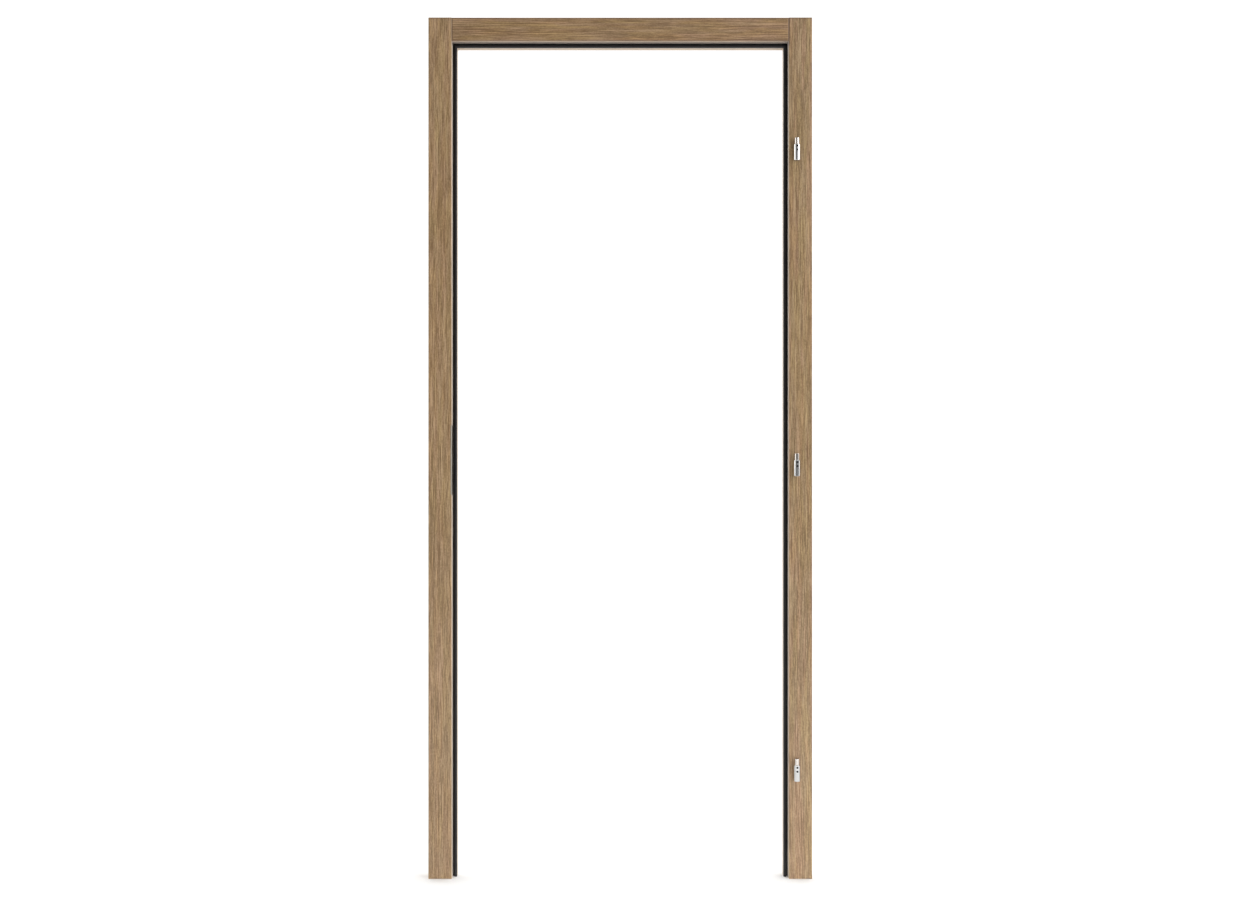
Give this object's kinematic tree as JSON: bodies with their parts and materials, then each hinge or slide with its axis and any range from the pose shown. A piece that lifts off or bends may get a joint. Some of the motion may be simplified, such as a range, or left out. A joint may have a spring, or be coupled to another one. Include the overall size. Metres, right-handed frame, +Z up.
{
  "type": "door frame",
  "caption": "Wood-pattern door frame with full-height jambs, a head, a black rebate seal, a strike plate and screw-in pin hinges for a rebated leaf.",
  "frame": {"origin": "centre of the part's footprint at floor level, midway between the jambs and midway between the front of the hinge barrels and the back of the frame", "axes": "+Z up along the jambs; +X to the right towards the hinge jamb, seen from the side that the leaf opens to; +Y through the opening, away from that side"},
  "size_m": [0.936, 0.0612, 2.1],
  "materials": {
    "oak_foil": "matt oak-pattern foil",
    "seal_rubber": "matt black",
    "bright_nickel": "polished nickel plate",
    "black_steel": "blackened steel",
    "zinc_steel": "zinc plated",
    "strike_steel": "dull grey zinc plate",
    "beech": "planed beech",
    "cup_plastic": "moulded black"
  },
  "bodies": {
    "root": {"jamb_latch_side": "oak_foil", "jamb_hinge_side": "oak_foil", "head_rail": "oak_foil", "seal_latch_side": "seal_rubber", "seal_hinge_side": "seal_rubber", "seal_head": "seal_rubber", "corner_dowels": "beech", "corner_screws": "zinc_steel", "strike_plate": "strike_steel", "strike_screws": "zinc_steel", "latch_cup": "cup_plastic", "bolt_cup": "cup_plastic", "hinge_top_body": "bright_nickel", "hinge_top_pin": "bright_nickel", "hinge_top_grub_screws": "black_steel", "hinge_top_shanks": "zinc_steel", "hinge_middle_body": "bright_nickel", "hinge_middle_pin": "bright_nickel", "hinge_middle_grub_screws": "black_steel", "hinge_middle_shanks": "zinc_steel", "hinge_bottom_body": "bright_nickel", "hinge_bottom_pin": "bright_nickel", "hinge_bottom_grub_screws": "black_steel", "hinge_bottom_shanks": "zinc_steel"}
  },
  "joints": []
}
